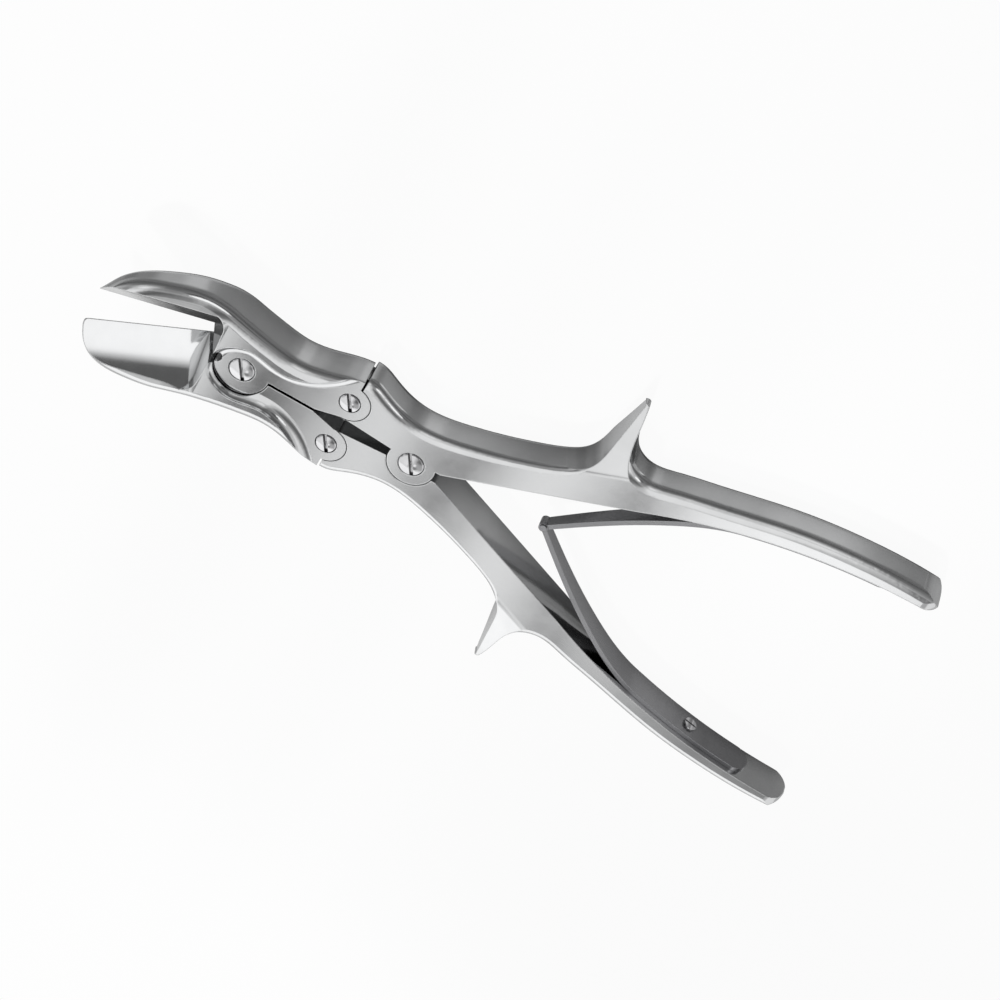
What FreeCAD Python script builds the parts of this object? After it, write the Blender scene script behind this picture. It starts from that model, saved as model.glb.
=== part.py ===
import FreeCAD, Part
import math
import os

# Bone cutting forceps with a double joint, lying open on its back
# Frame: millimetres, +Z up from the resting plane, +X towards the handle ends,
# +Y towards the upper handle. The origin is on the rear pivot's axis, on the resting plane.
# Each upper piece is made first, and the lower one is its mirror image with its pivot lap changed over.

# Main sizes
body_thickness = 13.0
pivot_spacing = 59.0
handle_reach = 158.5
lap_height = body_thickness / 2

# Linkage in the open rest pose: the link pivots' distance ahead of the rear pivot and beside the axis
link_forward = 25.6
link_height = 9.4
jaw_opening_deg = 7.6

# Clearances
running_clearance = 0.05
open_pivot_clearance = 0.12
lap_clearance = 0.3
shoulder_gap = 0.75
edge_clearance = 0.05
thread_clearance = 0.02
head_clearance = 0.15

# How far a cutting body runs past what it cuts
cut_spare = 1.0

# Pivot discs
jaw_disc_radius = 9.0
handle_disc_radius = 7.8
link_disc_radius = 6.5

# Pivot screws: the shoulder turns in the front lap, the thread sits in the back lap
pivot_head_radius = 4.15
pivot_head_height = 2.2
pivot_shoulder_radius = 2.6
pivot_thread_radius = 2.1
link_head_radius = 3.4
link_head_height = 1.9
link_shoulder_radius = 2.1
link_thread_radius = 1.7
head_proud = 0.35
head_bevel = 0.35
slot_width = 1.2
slot_depth = 0.9
slot_turn_deg = 118.0

# Blades
heel_distance = 15.0
blade_length = 34.6
blade_shoulder_distance = 22.6
blade_shoulder_height = 21.6
blade_rise_deg = 27.0
bevel_deg = 39.4
bevel_width = 18.0
hollow_radius = 90.0
heel_lean_deg = 18.0
heel_wall_distance = 10.8
heel_wall_sweep = 1.8
heel_wall_height = 9.5
heel_corner_length = 6.2
heel_corner_rise = 5.1
heel_corner_bow = 0.2
neck_bend_start = 5.0
front_bend_start = 9.7
front_bend_radius = 30.0
front_slope_deg = 19.5
jaw_front_round = 4.0
jaw_back_round = 3.0
notch_radius = 2.3
notch_distance = 9.2
tip_spare = 3.0

# Tails: a raised rim runs along the outer side, and the ground inside of it is level with the pivots
tail_gap = 0.5
tail_narrowing = 25.0
link_outer_height = 19.2
tail_overhang = 0.95
rim_height = 3.0
rim_cove_radius = 4.0
pivot_flat_radius = 10.4

# Handles
arm_gap_front = 2.8
arm_gap_rear = 1.6
shoulder_rise = 1.0
crotch_forward = 9.4
crotch_gap = 1.9
shank_end = (65.2, 27.2)
grip_end_height = 48.7
grip_end_spare = 2.6
grip_end_thickness = 4.75
grip_end_crown = 0.55
grip_middle_bow = 0.063
grip_end_radius = 8.0
grip_end_round = 6.0
grip_dome_radius = 7.2
arm_round = 3.0
arm_round_at_spur = 1.8
grip_round = 3.2
tongue_neck = 1.2

# Finger spurs: they thin from the full body thickness towards the tip
spur_tip = (50.2, 61.1)
spur_tip_radius = 1.2
spur_front_foot = (38.4, 26.9)
spur_rear_foot = (63.0, 38.4)
spur_taper_deg = 12.0
spur_taper_bend = 20.0
spur_sharp_height = 17.1
spur_lean = 2.6
spur_lean_start = 2.0

# Leaf springs
spring_thickness = 1.7
spring_seat_width = 9.6
spring_tip_width = 4.2
spring_end_gap = 15.6
spring_seat_length = 44.8
knuckle_forward = 45.3
knuckle_radius = 1.6
knuckle_gap = 0.06
hinge_pin_radius = 0.7
hinge_pin_head_radius = 1.2
hinge_pin_head_height = 0.35
hinge_pin_head_gap = 0.1
spring_screw_setback = 23.0
spring_screw_radius = 1.2
spring_screw_head_radius = 2.3
spring_screw_head_height = 0.8
spring_screw_head_gap = 0.03
spring_screw_depth = 3.6
spring_slot_width = 0.6
spring_slot_depth = 0.4

grip_end = (handle_reach + grip_end_spare, grip_end_height)
spring_end_forward = handle_reach - spring_end_gap
spring_lift_forward = spring_end_forward - spring_seat_length
spring_screw_forward = spring_end_forward - spring_screw_setback
jaw_pivot = (-pivot_spacing, 0.0)
link_pivot = (-link_forward, link_height)
handle_pivot = (0.0, 0.0)
knuckle = (knuckle_forward, 0.0)
arm_front_corner = (shoulder_gap + tail_overhang - link_forward, link_outer_height + shoulder_rise)


def at(x, y, z=0.0):
    return FreeCAD.Vector(x, y, z)


def line(start, end):
    return Part.makeLine(at(*start), at(*end))


def arc(start, middle, end):
    return Part.Arc(at(*start), at(*middle), at(*end)).toShape()


def curve(points):
    spline = Part.BSplineCurve()
    spline.interpolate([at(*point) for point in points])
    return spline.toShape()


def bowed(start, end, bows):
    # Points from start to end. A bow is a share of the way and a swing to the left, both in chord lengths.
    run = end[0] - start[0]
    rise = end[1] - start[1]
    between = [(start[0] + share * run - swing * rise, start[1] + share * rise + swing * run)
               for share, swing in bows]
    return [start] + between + [end]


def path(points):
    return [line(start, end) for start, end in zip(points, points[1:])]


def plate(edges, bottom, top):
    solid = Part.Face(Part.Wire(edges)).extrude(at(0, 0, top - bottom))
    solid.translate(at(0, 0, bottom))
    return solid


def side_plate(edges, low, high):
    # The edges lie in the XZ plane
    solid = Part.Face(Part.Wire(edges)).extrude(at(0, high - low, 0))
    solid.translate(at(0, low, 0))
    return solid


def post(centre, radius, bottom, top):
    return Part.makeCylinder(radius, top - bottom, at(centre[0], centre[1], bottom))


def flipped(shape):
    return shape.mirror(at(0, 0, 0), at(0, 1, 0))


def lap(side, spare=0.0):
    # Lowest and highest Z of the front or the back lap, with spare height away from the lap plane
    if side == "front":
        return lap_height, body_thickness + spare
    return -spare, lap_height


def opposite(side):
    return "back" if side == "front" else "front"


def outer_edges(wall, front):
    # Edges where an outer wall meets the front or the back of its piece
    blade_slope = math.tan(math.radians(blade_rise_deg))

    def is_front(edge):
        middle = edge.BoundBox.Center
        past_bend = max(0, jaw_pivot[0] - neck_bend_start - middle.x)
        return middle.z > lap_height + past_bend * blade_slope

    return [edge for edge in wall.Edges if edge.BoundBox.XLength > 0.1 and is_front(edge) == front]


def outer_walls(solid):
    # Curved outer walls, from the one nearest the tips to the one nearest the handle ends
    walls = [face for face in solid.Faces if isinstance(face.Surface, Part.SurfaceOfExtrusion)]
    return sorted(walls, key=lambda face: face.CenterOfMass.x)


def jaw_profile():
    # Side outline of a jaw: flat tail, neck bent forwards, blade rising to the tip
    rise = math.radians(blade_rise_deg)
    front_rise = math.radians(front_slope_deg)
    front = body_thickness + rim_height
    back_bend_x = jaw_pivot[0] - neck_bend_start
    front_bend_x = jaw_pivot[0] - front_bend_start
    back_radius = (heel_distance - neck_bend_start) / math.sin(rise)
    tip_x = jaw_pivot[0] - heel_distance - blade_length - tip_spare

    def on_back(turn):
        return back_bend_x - back_radius * math.sin(turn), 0, back_radius * (1 - math.cos(turn))

    def on_front(turn):
        drop = front_bend_radius * (1 - math.cos(turn))
        return front_bend_x - front_bend_radius * math.sin(turn), 0, front + drop

    heel = on_back(rise)
    front_end = on_front(front_rise)
    back_tip = (tip_x, 0, heel[2] + (heel[0] - tip_x) * math.tan(rise))
    front_tip = (tip_x, 0, front_end[2] + (front_end[0] - tip_x) * math.tan(front_rise))
    edges = path([(0, 0, front), (0, 0, 0), on_back(0)])
    edges.append(arc(on_back(0), on_back(rise / 2), heel))
    edges += path([heel, back_tip, front_tip, front_end])
    edges.append(arc(front_end, on_front(front_rise / 2), on_front(0)))
    edges.append(line(on_front(0), (0, 0, front)))
    return side_plate(edges, -handle_reach, handle_reach), heel[2]


def jaw_outline():
    # Plan of the upper jaw in the rest pose
    x0 = jaw_pivot[0]
    opening = math.tan(math.radians(jaw_opening_deg))
    tip_distance = heel_distance + blade_length
    tip = (x0 - tip_distance, tip_distance * opening + edge_clearance)
    root = (x0 - notch_distance / 2, notch_distance / 2 * opening + edge_clearance)
    shoulder = (x0 - blade_shoulder_distance, blade_shoulder_height)
    tail_end = (tail_overhang - link_forward, link_outer_height)
    blade_bows = [(0.127, 0.068), (0.265, 0.144), (0.462, 0.175), (0.764, 0.105)]
    tail_bows = [(0.157, -0.016), (0.331, -0.055), (0.506, -0.087), (0.654, -0.098),
                 (0.799, -0.062), (0.919, -0.017)]
    disc_bottom = (link_pivot[0], link_height - link_disc_radius)
    inner = [
        tail_end,
        (tail_end[0], disc_bottom[1]),
        disc_bottom,
        (x0 + tail_narrowing, tail_gap),
        (x0, tail_gap),
        root,
        tip,
    ]
    outer = bowed(tip, shoulder, blade_bows) + bowed(shoulder, tail_end, tail_bows)[1:]
    return [curve(outer)] + path(inner)


def heel_room():
    # Where the bevel is ground away: its heel wall leans back, and turns along the blade at the outer side
    wall_x = jaw_pivot[0] - heel_wall_distance
    reach = 2 * blade_length
    wall_end = (wall_x - heel_wall_sweep, heel_wall_height)
    corner_end = (wall_end[0] - heel_corner_length, wall_end[1] + heel_corner_rise)
    corner_middle = bowed(wall_end, corner_end, [(0.5, -heel_corner_bow)])[1]
    far_corner = (corner_end[0] - reach, corner_end[1] + reach / 2)
    edges = path([corner_end, far_corner, (far_corner[0], -reach), (wall_x, -reach), (wall_x, 0), wall_end])
    edges.append(arc(wall_end, corner_middle, corner_end))
    lean = math.tan(math.radians(heel_lean_deg))
    room = Part.Face(Part.Wire(edges)).extrude(at(reach * lean, 0, reach))
    room.translate(at(-body_thickness * lean, 0, 0))
    return room


def bevel_cut(heel_z):
    # Hollow-ground bevel: a grinding drum lies along the cutting edge, and ends in the round heel
    rise = math.radians(blade_rise_deg)
    bevel = math.radians(bevel_deg)
    along = at(-math.cos(rise), 0, math.sin(rise))
    up_bevel = at(math.sin(rise) * math.sin(bevel), math.cos(bevel), math.cos(rise) * math.sin(bevel))
    outward = up_bevel.cross(along)
    hollow = bevel_width ** 2 / (8 * hollow_radius)
    heel = at(jaw_pivot[0] - heel_distance, 0, heel_z)
    centre = heel + up_bevel * (bevel_width / 2) + outward * (hollow_radius - hollow)
    drum = Part.makeCylinder(hollow_radius, 3 * blade_length, centre - along * heel_distance, along)
    drum = drum.common(heel_room())
    drum.rotate(at(*jaw_pivot), at(0, 0, 1), -jaw_opening_deg)
    return drum


def rim_cut():
    # Takes the front down to the pivots' level inside the rim, with a cove along the rim's foot
    x0 = jaw_pivot[0]
    side = 2 * blade_shoulder_height
    near = (x0 - pivot_flat_radius, 0)
    over_pivot = (x0, pivot_flat_radius)
    past_link = (link_pivot[0] - link_disc_radius / 2, side / 2)
    round_pivot = bowed(near, over_pivot, [(0.5, 0.2)])
    along_rim = bowed(over_pivot, past_link, [(0.28, -0.16), (0.5, -0.195), (0.75, -0.14)])
    wall = [curve(round_pivot + along_rim[1:])]
    back = path([past_link, (0, side / 2), (0, -side), (near[0], -side), near])
    cutter = plate(wall + back, body_thickness, body_thickness + 2 * blade_length)
    foot = [edge for edge in cutter.Edges
            if isinstance(edge.Curve, Part.BSplineCurve) and edge.BoundBox.ZMax < body_thickness + cut_spare]
    return cutter.makeFillet(rim_cove_radius, foot)


def front_hole(centre, head_radius, head_height, shoulder_radius, clearance):
    # Bore through the front lap, with a flat seat for the screw's head
    seat = body_thickness + head_proud - head_height
    bore = post(centre, shoulder_radius + clearance, lap_height - cut_spare, body_thickness + cut_spare)
    return bore.fuse(post(centre, head_radius + head_clearance, seat, body_thickness + cut_spare))


def pivot_front_hole(centre):
    return front_hole(centre, pivot_head_radius, pivot_head_height, pivot_shoulder_radius,
                      running_clearance)


def link_front_hole(clearance):
    return front_hole(link_pivot, link_head_radius, link_head_height, link_shoulder_radius, clearance)


def back_hole(centre, thread_radius):
    return post(centre, thread_radius + thread_clearance, -cut_spare, lap_height + cut_spare)


def jaw(pivot_lap, link_clearance):
    # A jaw in the upper place. Its tail is the front lap at the link pivot.
    profile, heel_z = jaw_profile()
    blank = plate(jaw_outline(), -cut_spare, 3 * body_thickness).common(profile).Solids[0]
    blank = blank.makeFillet(jaw_front_round, outer_edges(outer_walls(blank)[0], True))
    blank = blank.makeFillet(jaw_back_round, outer_edges(outer_walls(blank)[0], False))
    body = blank.cut([
        bevel_cut(heel_z),
        rim_cut(),
        post(jaw_pivot, jaw_disc_radius + lap_clearance, *lap(opposite(pivot_lap), cut_spare)),
        post(link_pivot, link_disc_radius + lap_clearance, *lap("back", cut_spare)),
    ])
    body = body.fuse([
        post(jaw_pivot, jaw_disc_radius, *lap(pivot_lap)),
        post(link_pivot, link_disc_radius, *lap("front")),
    ])
    notch = post((jaw_pivot[0] - notch_distance, 0), notch_radius, -cut_spare, 2 * body_thickness)
    if pivot_lap == "front":
        pivot_hole = pivot_front_hole(jaw_pivot)
    else:
        pivot_hole = back_hole(jaw_pivot, pivot_thread_radius)
    return body.cut([notch, pivot_hole, link_front_hole(link_clearance)]).removeSplitter()


def grip_middle():
    return bowed(shank_end, grip_end, [(0.5, grip_middle_bow)])[1]


def grip_circle():
    # Centre and radius of the grip's inner face
    circle = Part.Circle(at(*shank_end), at(*grip_middle()), at(*grip_end))
    return circle.Center, circle.Radius


def arm_line():
    # Outer side of the arm, from the link end up the spur's leading side to its tip
    spur_tip_front = (spur_tip[0] - spur_tip_radius, spur_tip[1] - spur_tip_radius)
    arm_bows = [(0.041, -0.008), (0.116, -0.052), (0.214, -0.109), (0.307, -0.138),
                (0.418, -0.143), (0.547, -0.126), (0.694, -0.096), (0.859, -0.051)]
    lead_bows = [(0.138, -0.092), (0.298, -0.120), (0.498, -0.093), (0.741, -0.049)]
    arm = bowed(arm_front_corner, spur_front_foot, arm_bows)
    arm += bowed(spur_front_foot, spur_tip_front, lead_bows)[1:]
    spline = Part.BSplineCurve()
    spline.interpolate([at(*point) for point in arm])
    return spline


def handle_outline():
    # Plan of the upper handle in the rest pose, with its finger spur
    arm = arm_line()
    spur_tip_front = (spur_tip[0] - spur_tip_radius, spur_tip[1] - spur_tip_radius)
    spur_tip_rear = (spur_tip[0] + spur_tip_radius, spur_tip[1] - spur_tip_radius)
    end_outer = (grip_end[0], grip_end_height + grip_end_thickness)
    trail_bows = [(0.320, -0.102), (0.586, -0.176), (0.760, -0.172), (0.895, -0.110)]
    grip_bows = [(0.084, 0.004), (0.214, 0.019), (0.472, 0.047), (0.681, 0.047),
                 (0.833, 0.033), (0.953, 0.011)]
    grip = bowed(spur_tip_rear, spur_rear_foot, trail_bows)
    grip += bowed(spur_rear_foot, end_outer, grip_bows)[1:]
    inner = [
        shank_end,
        (crotch_forward, crotch_gap),
        (-handle_disc_radius, arm_gap_rear),
        (arm_front_corner[0], arm_gap_front),
        arm_front_corner,
    ]
    return [
        arm.toShape(),
        arc(spur_tip_front, spur_tip, spur_tip_rear),
        curve(grip),
        line(end_outer, grip_end),
        arc(grip_end, grip_middle(), shank_end),
    ] + path(inner)


def on_spur(shape):
    # Moves a shape drawn along X onto the line between the spur's feet
    run = spur_rear_foot[0] - spur_front_foot[0]
    rise = spur_rear_foot[1] - spur_front_foot[1]
    shape.rotate(at(0, 0, 0), at(0, 0, 1), math.degrees(math.atan2(rise, run)))
    shape.translate(at(*spur_front_foot))
    return shape


def spur_taper_cut():
    # Material taken off the front of the spur, down to a face that slopes to the tip
    slope = math.radians(spur_taper_deg)
    reach = 2 * (spur_tip[1] - spur_rear_foot[1])

    def on_bend(turn):
        drop = spur_taper_bend * (1 - math.cos(turn))
        return 0, spur_taper_bend * math.sin(turn), body_thickness - drop

    bend_end = on_bend(slope)
    far = (0, reach, bend_end[2] - (reach - bend_end[1]) * math.tan(slope))
    above = (0, reach, body_thickness + cut_spare)
    edges = [arc(on_bend(0), on_bend(slope / 2), bend_end)]
    edges += path([bend_end, far, above, (0, 0, body_thickness + cut_spare), on_bend(0)])
    length = spur_rear_foot[0] - spur_front_foot[0]
    cutter = Part.Face(Part.Wire(edges)).extrude(at(2 * length, 0, 0))
    cutter.translate(at(-length / 2, 0, 0))
    return on_spur(cutter)


def spur_lean_cut():
    # Leans the spur's leading side back towards its front ridge, and runs out at the spur's foot
    spline = arm_line()
    foot = spline.parameter(at(*spur_front_foot))
    along = spline.tangent(foot)[0]
    tip = spline.value(spline.LastParameter)
    clear = at(-along.y, along.x) * (spur_tip[1] - spur_front_foot[1])
    corner = at(*spur_front_foot) + clear
    top = body_thickness + cut_spare
    lean = spur_lean / (body_thickness - spur_lean_start)
    outlines = []
    for level in (spur_lean_start - cut_spare, top):
        shift = along * (lean * (level - spur_lean_start)) + at(0, 0, level)
        edges = [spline.toShape(foot, spline.LastParameter)]
        edges += [Part.makeLine(tip, tip + clear), Part.makeLine(tip + clear, corner)]
        edges.append(Part.makeLine(corner, at(*spur_front_foot)))
        wire = Part.Wire(edges)
        wire.translate(shift)
        outlines.append(wire)
    return Part.makeLoft(outlines, True, True)


def handle_blank():
    # Handle with rounded outer edges. The spur's upper part stays sharp-edged.
    whole = plate(handle_outline(), 0, body_thickness)
    length = 2 * (spur_rear_foot[0] - spur_front_foot[0])
    top = on_spur(Part.makeBox(length, length, body_thickness, at(-length / 4, spur_sharp_height, 0)))
    body = whole.cut(top).Solids[0]
    arm_wall, grip_wall = outer_walls(body)
    for front in (True, False):
        body = body.makeFillet(arm_round, arm_round_at_spur, outer_edges(arm_wall, front))
        arm_wall, grip_wall = outer_walls(body)
        body = body.makeFillet(grip_round, outer_edges(grip_wall, front))
        arm_wall, grip_wall = outer_walls(body)
    front_taper = spur_taper_cut()
    back_taper = front_taper.mirror(at(0, 0, lap_height), at(0, 0, 1))
    body = body.fuse(whole.common(top)).cut([front_taper, back_taper, spur_lean_cut()])
    return body.cut(end_corners()).common(end_profile()).common(end_dome())


def end_corners():
    # What the handle's round end leaves free, seen from the front
    radius = grip_end_radius
    centre = (handle_reach - radius, grip_end_height + grip_end_thickness + grip_end_crown - radius)
    low = -cut_spare
    high = body_thickness + cut_spare
    block = Part.makeBox(handle_reach, handle_reach, high - low, at(centre[0], 0, low))
    return block.cut(post(centre, radius, low, high))


def end_dome():
    # Rounds the corners of the handle's end
    centre = (handle_reach - grip_dome_radius, grip_end_height + grip_end_thickness / 2)
    dome = Part.makeSphere(grip_dome_radius, at(centre[0], centre[1], lap_height))
    reach = 2 * handle_reach
    return dome.fuse(Part.makeBox(reach, reach, reach, at(centre[0] - reach, -reach / 2, -reach / 2)))


def end_profile():
    # Side view of the handles, with the round of their ends
    corner = grip_end_round
    end = handle_reach
    side = path([(end - corner, 0, 0), (-end, 0, 0), (-end, 0, body_thickness),
                 (end - corner, 0, body_thickness)])
    diagonal = corner * (1 - math.sqrt(0.5))
    side.append(arc((end - corner, 0, body_thickness), (end - diagonal, 0, body_thickness - diagonal),
                    (end, 0, body_thickness - corner)))
    side.append(line((end, 0, body_thickness - corner), (end, 0, corner)))
    side.append(arc((end, 0, corner), (end - diagonal, 0, diagonal), (end - corner, 0, 0)))
    return side_plate(side, -end, end)


def spring_screw_axis():
    # Point on the grip's inner face and the direction out of it, where the spring's screw sits
    centre, radius = grip_circle()
    rise = math.sqrt(radius ** 2 - (spring_screw_forward - centre.x) ** 2)
    seat = at(spring_screw_forward, centre.y + rise, lap_height)
    inward = at(centre.x - seat.x, centre.y - seat.y)
    return seat, inward.normalize()


def handle(pivot_lap):
    # A handle in the upper place. Its front end is the back lap at the link pivot.
    body = handle_blank().cut([
        post(handle_pivot, handle_disc_radius + lap_clearance, *lap(opposite(pivot_lap), cut_spare)),
        post(link_pivot, link_disc_radius + lap_clearance, *lap("front", cut_spare)),
    ])
    neck_low = at(link_pivot[0], link_height - link_disc_radius, 0)
    neck = Part.makeBox(tail_overhang + shoulder_gap + tongue_neck,
                        2 * link_disc_radius, lap_height, neck_low)
    body = body.fuse([
        post(handle_pivot, handle_disc_radius, *lap(pivot_lap)),
        post(link_pivot, link_disc_radius, *lap("back")),
        neck,
    ])
    if pivot_lap == "front":
        pivot_hole = pivot_front_hole(handle_pivot)
    else:
        pivot_hole = back_hole(handle_pivot, pivot_thread_radius)
    seat, inward = spring_screw_axis()
    depth = spring_screw_depth + thread_clearance
    screw_bore = Part.makeCylinder(spring_screw_radius + thread_clearance, depth + cut_spare,
                                   seat - inward * depth, inward)
    return body.cut([pivot_hole, back_hole(link_pivot, link_thread_radius), screw_bore]).removeSplitter()


def pivot_screw(centre, head_radius, head_height, shoulder_radius, thread_radius):
    # Slotted screw standing along Z, its end flush with the back of the body
    top = body_thickness + head_proud
    seat = top - head_height
    outline = [
        (0, 0, 0),
        (thread_radius, 0, 0),
        (thread_radius, 0, lap_height),
        (shoulder_radius, 0, lap_height),
        (shoulder_radius, 0, seat),
        (head_radius, 0, seat),
        (head_radius, 0, top - head_bevel),
        (head_radius - head_bevel, 0, top),
        (0, 0, top),
        (0, 0, 0),
    ]
    body = Part.Face(Part.Wire(path(outline))).revolve(at(0, 0, 0), at(0, 0, 1), 360)
    slot = Part.makeBox(3 * head_radius, slot_width, slot_depth + cut_spare,
                        at(-1.5 * head_radius, -slot_width / 2, top - slot_depth))
    slot.rotate(at(0, 0, 0), at(0, 0, 1), slot_turn_deg)
    screw = body.cut(slot)
    screw.translate(at(*centre))
    return screw


def large_screw(centre):
    return pivot_screw(centre, pivot_head_radius, pivot_head_height, pivot_shoulder_radius,
                       pivot_thread_radius)


def link_screw(centre):
    return pivot_screw(centre, link_head_radius, link_head_height, link_shoulder_radius,
                       link_thread_radius)


def spring_side():
    # Side outline of the upper leaf spring: it hugs the grip, then leaves it towards the knuckle
    centre, radius = grip_circle()

    def on_grip(x, inset):
        reach = radius - inset
        return x, centre.y + math.sqrt(reach ** 2 - (x - centre.x) ** 2)

    middle_line = Part.BSplineCurve()
    lift = on_grip(spring_lift_forward, spring_thickness / 2)
    leaf_bows = [(0.199, -0.044), (0.357, -0.052), (0.544, -0.048)]
    middle_line.interpolate([at(*point) for point in bowed(lift, knuckle, leaf_bows)])
    steps = 8
    first = middle_line.FirstParameter
    last = middle_line.LastParameter
    top = [on_grip(spring_lift_forward, 0)]
    bottom = [on_grip(spring_lift_forward, spring_thickness)]
    for step in range(1, steps + 1):
        where = first + (last - first) * step / steps
        point = middle_line.value(where)
        along = middle_line.tangent(where)[0]
        across = at(along.y, -along.x) * (spring_thickness / 2)
        top.append(tuple(point + across)[:2])
        bottom.append(tuple(point - across)[:2])
    seat_middle = (spring_lift_forward + spring_end_forward) / 2
    return [
        arc(on_grip(spring_end_forward, 0), on_grip(seat_middle, 0), top[0]),
        curve(top),
        line(top[-1], bottom[-1]),
        curve(bottom[::-1]),
        arc(bottom[0], on_grip(seat_middle, spring_thickness), on_grip(spring_end_forward, spring_thickness)),
        line(on_grip(spring_end_forward, spring_thickness), on_grip(spring_end_forward, 0)),
    ]


def spring_width():
    # Front view of the leaf: full width on the grip, narrowing to the knuckle, with a round end
    full = spring_seat_width / 2
    thin = spring_tip_width / 2
    middle = lap_height
    past_tip = knuckle_forward - 2 * knuckle_radius
    straight_end = spring_end_forward - full
    edges = path([
        (straight_end, 0, middle - full),
        (spring_lift_forward, 0, middle - full),
        (knuckle_forward, 0, middle - thin),
        (past_tip, 0, middle - thin),
        (past_tip, 0, middle + thin),
        (knuckle_forward, 0, middle + thin),
        (spring_lift_forward, 0, middle + full),
        (straight_end, 0, middle + full),
    ])
    edges.append(arc((straight_end, 0, middle + full), (spring_end_forward, 0, middle),
                     (straight_end, 0, middle - full)))
    return side_plate(edges, -handle_reach, handle_reach)


def knuckle_bands():
    # Heights of the hinge barrel's three bands, from the lowest to the highest
    low = lap_height - spring_tip_width / 2
    third = spring_tip_width / 3
    return [(low + third * band, low + third * (band + 1)) for band in range(3)]


def leaf_spring(owned_bands):
    # A leaf in the upper place. It owns some bands of the barrel and stays clear of the others.
    leaf = plate(spring_side(), 0, body_thickness).common(spring_width())
    bands = knuckle_bands()
    for band, (low, high) in enumerate(bands):
        if band in owned_bands:
            shrink_low = knuckle_gap / 2 if band > 0 else 0
            shrink_high = knuckle_gap / 2 if band < 2 else 0
            leaf = leaf.fuse(post(knuckle, knuckle_radius, low + shrink_low, high - shrink_high))
        else:
            spare_low = knuckle_gap / 2 if band > 0 else cut_spare
            spare_high = knuckle_gap / 2 if band < 2 else cut_spare
            clear_radius = knuckle_radius + 2 * knuckle_gap
            leaf = leaf.cut(post(knuckle, clear_radius, low - spare_low, high + spare_high))
    seat, inward = spring_screw_axis()
    screw_bore = Part.makeCylinder(spring_screw_radius + running_clearance, 3 * spring_thickness,
                                   seat - inward * cut_spare, inward)
    pin_bore = post(knuckle, hinge_pin_radius + running_clearance, 0, body_thickness)
    return leaf.cut([screw_bore, pin_bore]).removeSplitter()


def spring_screw():
    seat, inward = spring_screw_axis()
    length = spring_screw_depth + spring_thickness + spring_screw_head_gap
    shank = Part.makeCylinder(spring_screw_radius, length, seat - inward * spring_screw_depth, inward)
    head_base = seat + inward * (spring_thickness + spring_screw_head_gap)
    head = Part.makeCylinder(spring_screw_head_radius, spring_screw_head_height, head_base, inward)
    top = head_base + inward * spring_screw_head_height
    slot = Part.makeBox(3 * spring_screw_head_radius, 2 * spring_slot_depth, spring_slot_width,
                        at(-1.5 * spring_screw_head_radius, -spring_slot_depth, -spring_slot_width / 2))
    slot.rotate(at(0, 0, 0), at(0, 0, 1), math.degrees(math.atan2(inward.y, inward.x)) - 90)
    slot.translate(top)
    return shank.fuse(head).cut(slot).removeSplitter()


def spring_hinge_pin():
    low = lap_height - spring_tip_width / 2 - hinge_pin_head_gap
    high = lap_height + spring_tip_width / 2 + hinge_pin_head_gap
    shank = post(knuckle, hinge_pin_radius, low, high)
    return shank.fuse([
        post(knuckle, hinge_pin_head_radius, low - hinge_pin_head_height, low),
        post(knuckle, hinge_pin_head_radius, high, high + hinge_pin_head_height),
    ]).removeSplitter()


def print_linkage():
    # Closed pose of the four-bar kite: both tails and arms keep their lengths
    tail_length = math.hypot(pivot_spacing - link_forward, link_height)
    arm_length = math.hypot(link_forward, link_height)
    tail_open = math.degrees(math.atan2(link_height, pivot_spacing - link_forward))
    arm_open = math.degrees(math.atan2(link_height, link_forward))
    closed_height = tail_length * math.sin(math.radians(tail_open + jaw_opening_deg))
    arm_closed = math.degrees(math.asin(closed_height / arm_length))
    print("each handle turns", round(arm_closed - arm_open, 3), "degrees while each jaw turns", jaw_opening_deg)


def main():
    os.makedirs("parts", exist_ok=True)
    pieces = {
        "upper_jaw": jaw("front", open_pivot_clearance),
        "lower_jaw": flipped(jaw("back", running_clearance)),
        "upper_handle": handle("front"),
        "lower_handle": flipped(handle("back")),
        "jaw_pivot_screw": large_screw(jaw_pivot),
        "handle_pivot_screw": large_screw(handle_pivot),
        "upper_link_screw": link_screw(link_pivot),
        "lower_link_screw": link_screw((link_pivot[0], -link_height)),
        "upper_leaf_spring": leaf_spring([1]),
        "lower_leaf_spring": flipped(leaf_spring([0, 2])),
        "upper_spring_screw": spring_screw(),
        "lower_spring_screw": flipped(spring_screw()),
        "spring_hinge_pin": spring_hinge_pin(),
    }
    for name, shape in pieces.items():
        shape.exportStep("parts/" + name + ".step")
        print(name, len(shape.Solids), "solid", shape.isValid(), round(shape.Volume, 1))
    print_linkage()


main()
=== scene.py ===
import math

import bmesh
import bpy
from mathutils import Matrix, Quaternion, Vector


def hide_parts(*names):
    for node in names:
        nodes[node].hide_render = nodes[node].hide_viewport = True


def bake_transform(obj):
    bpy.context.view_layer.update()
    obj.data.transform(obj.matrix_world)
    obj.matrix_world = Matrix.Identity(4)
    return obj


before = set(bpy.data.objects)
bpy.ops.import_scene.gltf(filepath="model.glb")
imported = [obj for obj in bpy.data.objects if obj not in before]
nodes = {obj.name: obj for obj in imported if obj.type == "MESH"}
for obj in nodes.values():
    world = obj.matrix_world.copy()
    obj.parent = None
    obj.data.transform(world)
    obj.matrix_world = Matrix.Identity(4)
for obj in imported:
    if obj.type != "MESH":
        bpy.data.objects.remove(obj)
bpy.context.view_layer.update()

# The leaves' meshes: slices that let them bend, and how the mesh is merged, cut and shaded
LEAF_SLICES = 36
MERGE_WITHIN = 1e-6
CUT_WITHIN = 1e-7
SHARP_DEGREES = 30

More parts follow.
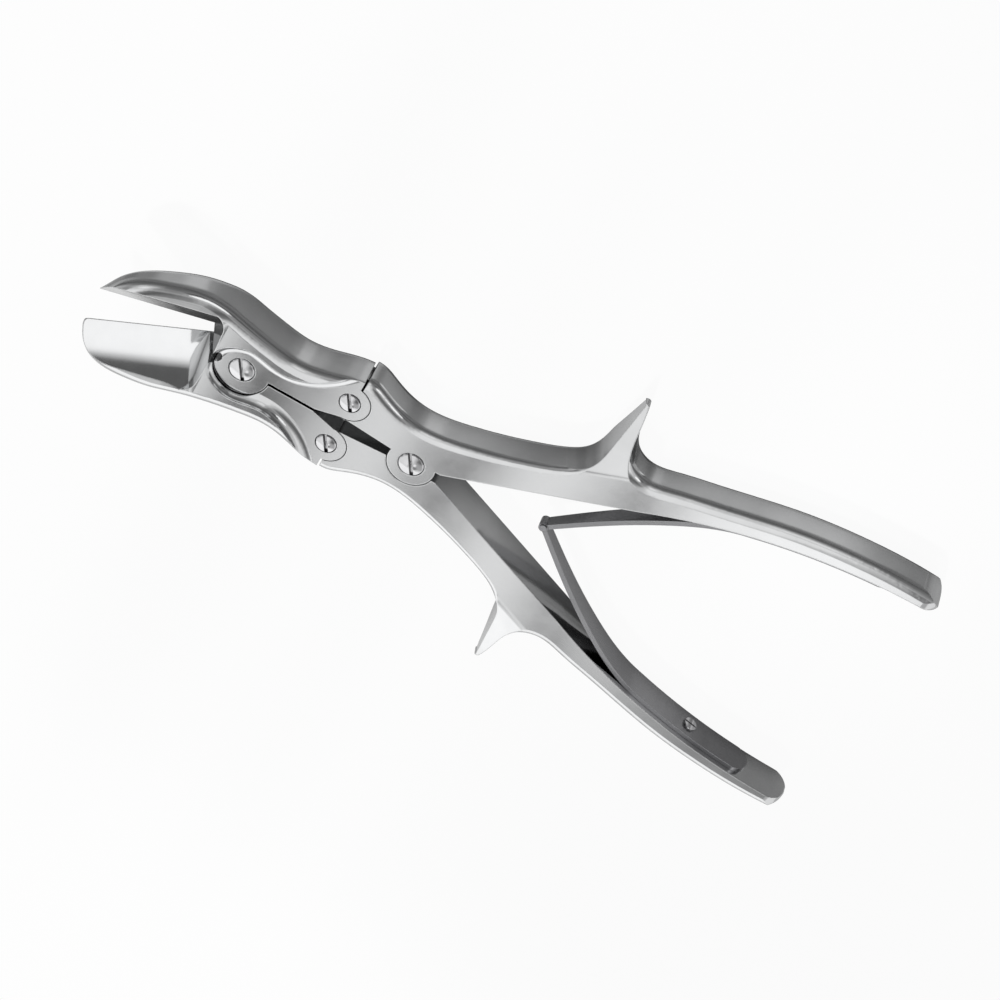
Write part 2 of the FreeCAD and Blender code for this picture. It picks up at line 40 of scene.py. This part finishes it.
# The steels: noise scales per metre, strength of the grain's bump, samples of the edge node and of
# the painted shade nodes
GRAIN_SCALE = 900
CLOUD_SCALE = 90
GRAIN_STRENGTH = 0.35
TINT_SHARES = (0.95, 1.04)
EDGE_SAMPLES = 6
PAINTED_SHADE_SAMPLES = 8

# The floor, in metres, and how much of its sheen the painted shade round the part leaves
FLOOR_REACH = 12
FLOOR_DROP = 0.0001
PAPER_GREY = (0.5, 0.5, 0.5, 1)
SHEEN_SHARE = 0.8
SHEEN_ROUGHNESS = 0.12
FLOOR_PAINTED_SHADE_REACH = 0.02
FLOOR_PAINTED_SHADE_OPENNESS = (0.3, 0.75)
SHEEN_PAINTED_SHADE_GREYS = (0.06, 0.68)

# Shares of plain white in the floor and the world, for the camera and for mirrors
FLOOR_WHITE = (0.95, 0.03)
WORLD_WHITE = (1.0, 0.05)
WHITE = (1, 1, 1, 1)

# The studio overhead: greys by degrees from the zenith towards +X (along) or +Y (across)
STRIPS_ALONG = [
    (-20, 1.0), (-2.5, 1.15), (-0.9, 1.1), (-0.2, 0.05), (0.6, 0.05), (1.4, 0.45), (2.6, 0.95),
    (3.6, 1.1), (4.5, 0.5), (5.4, 0.15), (6.0, 0.6), (6.8, 1.15), (7.8, 1.05), (9.3, 0.25),
    (10.4, 1.2), (13.5, 1.35), (15.5, 1.2), (17.5, 0.5), (38, 0.5), (46, 0.9), (64, 0.9)]
STRIPS_OFF_ACROSS = [(-90, 1.0), (-51, 1.0), (-46, 0.0), (-35, 0.0), (-30, 1.0), (90, 1.0)]
FLAGS_ACROSS = [
    (-90, 0.9), (-60, 0.95), (-35, 1.0), (18, 1.0), (30, 0.75), (42, 0.62), (50, 0.75),
    (60, 0.35), (75, 0.12), (90, 0.05)]
COLUMN_ALONG = [
    (-90, 0.0), (-60, 0.5), (-45, 0.8), (-36, 0.7), (-28, 0.4), (-20, 0.0), (4, 0.0), (9, 0.4),
    (15, 0.9), (22, 1.0), (30, 0.85), (38, 0.5), (48, 0.1), (90, 0.0)]
COLUMN_ACROSS = [
    (-90, 0.3), (-45, 0.0), (-37, 0.0), (-29, 0.7), (-22, 1.0), (14, 1.0), (27, 0.62),
    (38, 0.7), (60, 0.85), (90, 1.0)]
COLUMN_GREY = 0.1
# Round boxes and flags: the direction, the inner and outer radius in degrees, and the grey
PATCHES = [
    ((0.44, 0.74, 0.5), 5, 11, 0.08),
    ((0.535, 0.56, 0.63), 6, 10, 1.3),
    ((0.2, -0.7, 0.68), 3, 6.5, 0.25),
    ((-0.5, 0.42, 0.755), 5, 14, 0.3),
    ((-0.056, 0.64, 0.766), 4, 9, 1.0),
    ((-0.64, 0.136, 0.755), 6, 12, 0.2)]

# The photograph's viewpoint: a turn as one vector, a place in metres and a focal length in mm
CAMERA_TURN = Vector((-0.711813, 0.09855, 0.519334))
CAMERA_PLACE = (-0.056141, 0.637040, 0.754738)
CAMERA_LENS = 115.37


def new_material(name):
    material = bpy.data.materials.new(name)
    material.use_nodes = True
    tree = material.node_tree
    tree.nodes.clear()
    return material, tree


def add(tree, kind, **inputs):
    # A node with values on its inputs, whose names are written with _ for each space
    node = tree.nodes.new(kind)
    for key, value in inputs.items():
        node.inputs[key.replace("_", " ")].default_value = value
    return node


def calculate(tree, operation, *values):
    # A maths node whose inputs are numbers or other nodes' outputs
    node = tree.nodes.new("ShaderNodeMath")
    node.operation = operation
    for socket, value in zip(node.inputs, values):
        if isinstance(value, (int, float)):
            socket.default_value = value
        else:
            tree.links.new(value, socket)
    return node.outputs[0]


def ground_steel(name, colour, roughness, spread, stretch, grain_turn, bump_depth, edge_round, gap_painted_shade,
                 dome=0):
    # Polished steel with a fine directional grain, faint clouding, softly broken edges and painted
    # shade in its slots, gaps and corners
    material, tree = new_material(name)
    link = tree.links.new
    place = tree.nodes.new("ShaderNodeTexCoord")
    turn = add(tree, "ShaderNodeMapping", Rotation=(0, 0, grain_turn), Scale=stretch)
    link(place.outputs["Object"], turn.inputs["Vector"])
    grain = add(tree, "ShaderNodeTexNoise", Scale=GRAIN_SCALE, Detail=4, Roughness=0.6)
    link(turn.outputs["Vector"], grain.inputs["Vector"])
    clouds = add(tree, "ShaderNodeTexNoise", Scale=CLOUD_SCALE, Detail=3, Roughness=0.5)
    link(place.outputs["Object"], clouds.inputs["Vector"])

    both = calculate(tree, "ADD", grain.outputs["Fac"], clouds.outputs["Fac"])
    gloss = add(tree, "ShaderNodeMapRange", From_Min=0.6, From_Max=1.4,
                To_Min=roughness - spread, To_Max=roughness + spread)
    link(both, gloss.inputs["Value"])

    # The vector sockets of a map range: the value, where it comes from and what it turns to
    tint = tree.nodes.new("ShaderNodeMapRange")
    tint.data_type = "FLOAT_VECTOR"
    cloud, *limits = tint.inputs[6:11]
    dark, light = (tuple(share * part for part in colour) for share in TINT_SHARES)
    for socket, limit in zip(limits, ((0.3, 0.3, 0.3), (0.7, 0.7, 0.7), dark, light)):
        socket.default_value = limit
    link(clouds.outputs["Fac"], cloud)

    # Painted shade: the colour darkens in slots, gaps and corners, found by ambient occlusion: how
    # far it reaches, the openness that counts as closed and as open, and the grey of a closed one
    painted_shade_reach, painted_shade_closed, painted_shade_open, painted_shade_grey = gap_painted_shade
    painted_shade_occlusion = add(tree, "ShaderNodeAmbientOcclusion", Distance=painted_shade_reach)
    painted_shade_occlusion.samples = PAINTED_SHADE_SAMPLES
    painted_shade = add(tree, "ShaderNodeMapRange", From_Min=painted_shade_closed, From_Max=painted_shade_open,
                To_Min=painted_shade_grey, To_Max=1.0)
    link(painted_shade_occlusion.outputs["AO"], painted_shade.inputs["Value"])
    painted_shade_colour = tree.nodes.new("ShaderNodeVectorMath")
    painted_shade_colour.operation = "SCALE"
    link(tint.outputs["Vector"], painted_shade_colour.inputs[0])
    link(painted_shade.outputs["Result"], painted_shade_colour.inputs["Scale"])

    soft_edge = add(tree, "ShaderNodeBevel", Radius=edge_round)
    soft_edge.samples = EDGE_SAMPLES
    surface = soft_edge.outputs["Normal"]
    if dome:
        # A slightly domed head: its height falls with the square of the way from its middle
        over_head = add(tree, "ShaderNodeMapping", Location=(-1, -1, 0), Scale=(2, 2, 0))
        link(place.outputs["Generated"], over_head.inputs["Vector"])
        fall = tree.nodes.new("ShaderNodeVectorMath")
        fall.operation = "DOT_PRODUCT"
        link(over_head.outputs["Vector"], fall.inputs[0])
        link(over_head.outputs["Vector"], fall.inputs[1])
        crown = add(tree, "ShaderNodeBump", Strength=1.0, Distance=dome)
        crown.invert = True
        link(fall.outputs["Value"], crown.inputs["Height"])
        link(surface, crown.inputs["Normal"])
        surface = crown.outputs["Normal"]
    bump = add(tree, "ShaderNodeBump", Strength=GRAIN_STRENGTH, Distance=bump_depth)
    link(grain.outputs["Fac"], bump.inputs["Height"])
    link(surface, bump.inputs["Normal"])

    shader = add(tree, "ShaderNodeBsdfPrincipled", Metallic=1.0)
    link(painted_shade_colour.outputs["Vector"], shader.inputs["Base Color"])
    link(gloss.outputs["Result"], shader.inputs["Roughness"])
    link(bump.outputs["Normal"], shader.inputs["Normal"])
    out = tree.nodes.new("ShaderNodeOutputMaterial")
    link(shader.outputs[0], out.inputs["Surface"])
    return material


# The last values of each steel are its painted shade in gaps and corners: reach, closed and open
# openness, and grey
jaw_steel = ground_steel(
    "jaw_ground_steel", colour=(0.7, 0.705, 0.71), roughness=0.08, spread=0.025,
    stretch=(1, 12, 1), grain_turn=0.3, bump_depth=1.5e-6, edge_round=0.0004,
    gap_painted_shade=(0.0035, 0.25, 0.75, 0.1))
handle_steel = ground_steel(
    "handle_ground_steel", colour=(0.7, 0.705, 0.71), roughness=0.08, spread=0.025,
    stretch=(1, 12, 1), grain_turn=0.4, bump_depth=1.5e-6, edge_round=0.0005,
    gap_painted_shade=(0.003, 0.2, 0.6, 0.6))
screw_steel = ground_steel(
    "screw_turned_steel", colour=(0.66, 0.66, 0.67), roughness=0.1, spread=0.03,
    stretch=(6, 6, 1), grain_turn=0.0, bump_depth=2e-6, edge_round=0.00025,
    gap_painted_shade=(0.0025, 0.25, 0.75, 0.12), dome=0.0006)
spring_steel = ground_steel(
    "spring_satin_steel", colour=(0.36, 0.36, 0.37), roughness=0.18, spread=0.05,
    stretch=(1, 10, 1), grain_turn=0.6, bump_depth=2e-6, edge_round=0.00015,
    gap_painted_shade=(0.0035, 0.25, 0.75, 0.5))


def finish_node(name, material):
    for place in nodes[name].material_slots:
        place.link = "OBJECT"
        place.material = material


for name in ("upper_jaw", "lower_jaw"):
    finish_node(name, jaw_steel)
for name in ("upper_handle", "lower_handle"):
    finish_node(name, handle_steel)
for name in ("jaw_pivot_screw", "handle_pivot_screw", "upper_link_screw", "lower_link_screw",
             "upper_spring_screw", "lower_spring_screw"):
    finish_node(name, screw_steel)
finish_node("spring_hinge_pin", spring_steel)


def bending_spring(name, node):
    # The leaf as a mesh sliced across its length so that it can bend; on the tool it stays with its
    # handle at the seat, and at the knuckle it turns half as far as the handles close
    mesh = nodes[node].data.copy()
    mesh.name = name
    work = bmesh.new()
    work.from_mesh(mesh)
    bmesh.ops.remove_doubles(work, verts=work.verts, dist=MERGE_WITHIN)
    near, far = (pick(point.co.x for point in work.verts) for pick in (min, max))
    for step in range(1, LEAF_SLICES):
        cut = near + (far - near) * step / LEAF_SLICES
        everything = work.verts[:] + work.edges[:] + work.faces[:]
        bmesh.ops.bisect_plane(
            work, geom=everything, dist=CUT_WITHIN, plane_co=(cut, 0, 0), plane_no=(1, 0, 0))
    bmesh.ops.triangulate(work, faces=work.faces[:])
    bmesh.ops.recalc_face_normals(work, faces=work.faces)
    work.to_mesh(mesh)
    work.free()
    # The CAD mesh's own normals no longer fit the new faces
    if "custom_normal" in mesh.attributes:
        mesh.attributes.remove(mesh.attributes["custom_normal"])
    mesh.materials.clear()
    mesh.materials.append(spring_steel)
    mesh.set_sharp_from_angle(angle=math.radians(SHARP_DEGREES))
    leaf = bpy.data.objects.new(name, mesh)
    bpy.context.collection.objects.link(leaf)
    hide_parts(node)
    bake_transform(leaf)


bending_spring("upper_spring_leaf", "upper_leaf_spring")
bending_spring("lower_spring_leaf", "lower_leaf_spring")


def white_for_sight(tree, lit, white, camera_share, mirror_share):
    # Mixes plain white into what the camera sees. Metal and glass show only a little of it, since
    # the photograph's steel mirrors a darker room.
    path = tree.nodes.new("ShaderNodeLightPath")
    mirrored = calculate(
        tree, "MAXIMUM", path.outputs["Is Glossy Ray"], path.outputs["Is Transmission Ray"])
    dimmed = calculate(tree, "MULTIPLY", mirrored, mirror_share)
    share = calculate(tree, "MULTIPLY_ADD", path.outputs["Is Camera Ray"], camera_share, dimmed)
    mix = tree.nodes.new("ShaderNodeMixShader")
    tree.links.new(share, mix.inputs[0])
    tree.links.new(lit, mix.inputs[1])
    tree.links.new(white, mix.inputs[2])
    return mix.outputs[0]


def make_floor():
    mesh = bpy.data.meshes.new("studio_floor")
    corners = [(x * FLOOR_REACH, y * FLOOR_REACH, 0) for x, y in ((-1, -1), (1, -1), (1, 1), (-1, 1))]
    mesh.from_pydata(corners, [], [(0, 1, 2, 3)])
    floor = bpy.data.objects.new("studio_floor", mesh)
    floor.location.z = -FLOOR_DROP
    bpy.context.collection.objects.link(floor)
    material, tree = new_material("studio_paper")
    link = tree.links.new
    paper = add(tree, "ShaderNodeBsdfDiffuse", Roughness=0.5, Color=PAPER_GREY)
    sheen = add(tree, "ShaderNodeBsdfGlossy", Roughness=SHEEN_ROUGHNESS)
    # Painted shade: close to the steel the sheen's colour darkens with the part's occlusion, standing
    # in for the part's own shade, which the side walls mirror
    floor_painted_shade_occlusion = add(tree, "ShaderNodeAmbientOcclusion", Distance=FLOOR_PAINTED_SHADE_REACH)
    floor_painted_shade_occlusion.samples = PAINTED_SHADE_SAMPLES
    painted_shade = add(tree, "ShaderNodeMapRange", From_Min=FLOOR_PAINTED_SHADE_OPENNESS[0],
                From_Max=FLOOR_PAINTED_SHADE_OPENNESS[1], To_Min=SHEEN_PAINTED_SHADE_GREYS[0], To_Max=SHEEN_PAINTED_SHADE_GREYS[1])
    link(floor_painted_shade_occlusion.outputs["AO"], painted_shade.inputs["Value"])
    link(painted_shade.outputs["Result"], sheen.inputs["Color"])
    coated = tree.nodes.new("ShaderNodeMixShader")
    coated.inputs[0].default_value = SHEEN_SHARE
    link(paper.outputs[0], coated.inputs[1])
    link(sheen.outputs[0], coated.inputs[2])
    white = add(tree, "ShaderNodeEmission", Strength=1.0, Color=WHITE)
    seen = white_for_sight(tree, coated.outputs[0], white.outputs[0], *FLOOR_WHITE)
    out = tree.nodes.new("ShaderNodeOutputMaterial")
    link(seen, out.inputs["Surface"])
    mesh.materials.append(material)


def angle_ramp(tree, across, up, stops):
    # Grey level by the angle from the zenith towards one side, in degrees
    low, high = stops[0][0], stops[-1][0]
    angle = calculate(tree, "ARCTAN2", across, up)
    share = add(tree, "ShaderNodeMapRange", From_Min=math.radians(low), From_Max=math.radians(high))
    tree.links.new(angle, share.inputs["Value"])
    ramp = tree.nodes.new("ShaderNodeValToRGB")
    ramp.color_ramp.interpolation = "EASE"
    marks = ramp.color_ramp.elements
    marks.remove(marks[0])
    # Marks sort themselves, so each one is made at its place
    for number, (degrees, grey) in enumerate(stops):
        place = (degrees - low) / (high - low)
        mark = marks.new(place) if number else marks[0]
        mark.position = place
        mark.color = (grey, grey, grey, 1)
    tree.links.new(share.outputs["Result"], ramp.inputs[0])
    return ramp.outputs["Color"]


def patch(tree, way, direction, inner_deg, outer_deg):
    # One inside a round patch of the sky, and nought outside of it
    towards = tree.nodes.new("ShaderNodeVectorMath")
    towards.operation = "DOT_PRODUCT"
    towards.inputs[1].default_value = Vector(direction).normalized()
    tree.links.new(way, towards.inputs[0])
    soft = add(tree, "ShaderNodeMapRange", From_Min=math.cos(math.radians(outer_deg)),
               From_Max=math.cos(math.radians(inner_deg)))
    soft.interpolation_type = "SMOOTHSTEP"
    tree.links.new(towards.outputs["Value"], soft.inputs["Value"])
    return soft.outputs["Result"]


def towards_grey(tree, colour, where, grey):
    # Turns to a plain grey where the mask is one. The sockets are the colours of a mix node.
    mix = tree.nodes.new("ShaderNodeMix")
    mix.data_type = "RGBA"
    tree.links.new(where, mix.inputs[0])
    tree.links.new(colour, mix.inputs[6])
    mix.inputs[7].default_value = (grey, grey, grey, 1)
    return mix.outputs[2]


def make_world():
    # A pale studio with soft strips overhead and dark flags. The background itself is white.
    world = bpy.data.worlds.new("studio")
    bpy.context.scene.world = world
    world.use_nodes = True
    tree = world.node_tree
    tree.nodes.clear()
    link = tree.links.new
    way = tree.nodes.new("ShaderNodeTexCoord").outputs["Generated"]
    parts = tree.nodes.new("ShaderNodeSeparateXYZ")
    link(way, parts.inputs[0])
    x, y, z = (parts.outputs[axis] for axis in "XYZ")
    strips = angle_ramp(tree, x, z, STRIPS_ALONG)
    strips = towards_grey(tree, strips, angle_ramp(tree, y, z, STRIPS_OFF_ACROSS), 1.0)
    level = calculate(tree, "MULTIPLY", strips, angle_ramp(tree, y, z, FLAGS_ACROSS))
    column = calculate(tree, "MULTIPLY", angle_ramp(tree, x, z, COLUMN_ALONG),
                       angle_ramp(tree, y, z, COLUMN_ACROSS))
    level = towards_grey(tree, level, column, COLUMN_GREY)
    for direction, inner_deg, outer_deg, grey in PATCHES:
        level = towards_grey(tree, level, patch(tree, way, direction, inner_deg, outer_deg), grey)
    room = add(tree, "ShaderNodeBackground", Strength=1.0)
    link(level, room.inputs["Color"])
    white = add(tree, "ShaderNodeBackground", Strength=1.0, Color=WHITE)
    seen = white_for_sight(tree, room.outputs[0], white.outputs[0], *WORLD_WHITE)
    out = tree.nodes.new("ShaderNodeOutputWorld")
    link(seen, out.inputs["Surface"])


def soft_lamp(name, place, target, size, watts):
    lamp = bpy.data.lights.new(name, "AREA")
    lamp.shape = "RECTANGLE"
    lamp.size, lamp.size_y = size
    lamp.energy = watts
    stand = bpy.data.objects.new(name, lamp)
    bpy.context.collection.objects.link(stand)
    stand.location = place
    aim = Vector(target) - Vector(place)
    stand.rotation_euler = aim.to_track_quat("-Z", "Y").to_euler()


def make_camera():
    data = bpy.data.cameras.new("photo_camera")
    data.sensor_fit = "HORIZONTAL"
    data.sensor_width = 36
    data.lens = CAMERA_LENS
    data.clip_start = 0.01
    data.clip_end = 50
    camera = bpy.data.objects.new("photo_camera", data)
    bpy.context.collection.objects.link(camera)
    turn = Quaternion(CAMERA_TURN.normalized(), CAMERA_TURN.length).to_matrix().to_4x4()
    camera.matrix_world = Matrix.Translation(CAMERA_PLACE) @ turn
    bpy.context.scene.camera = camera


make_floor()
make_world()
soft_lamp("key_softbox", place=(-0.2, -1.5, 0.7), target=(0, 0, 0), size=(2.4, 0.8), watts=2)
make_camera()
bpy.context.scene.view_settings.view_transform = "Standard"
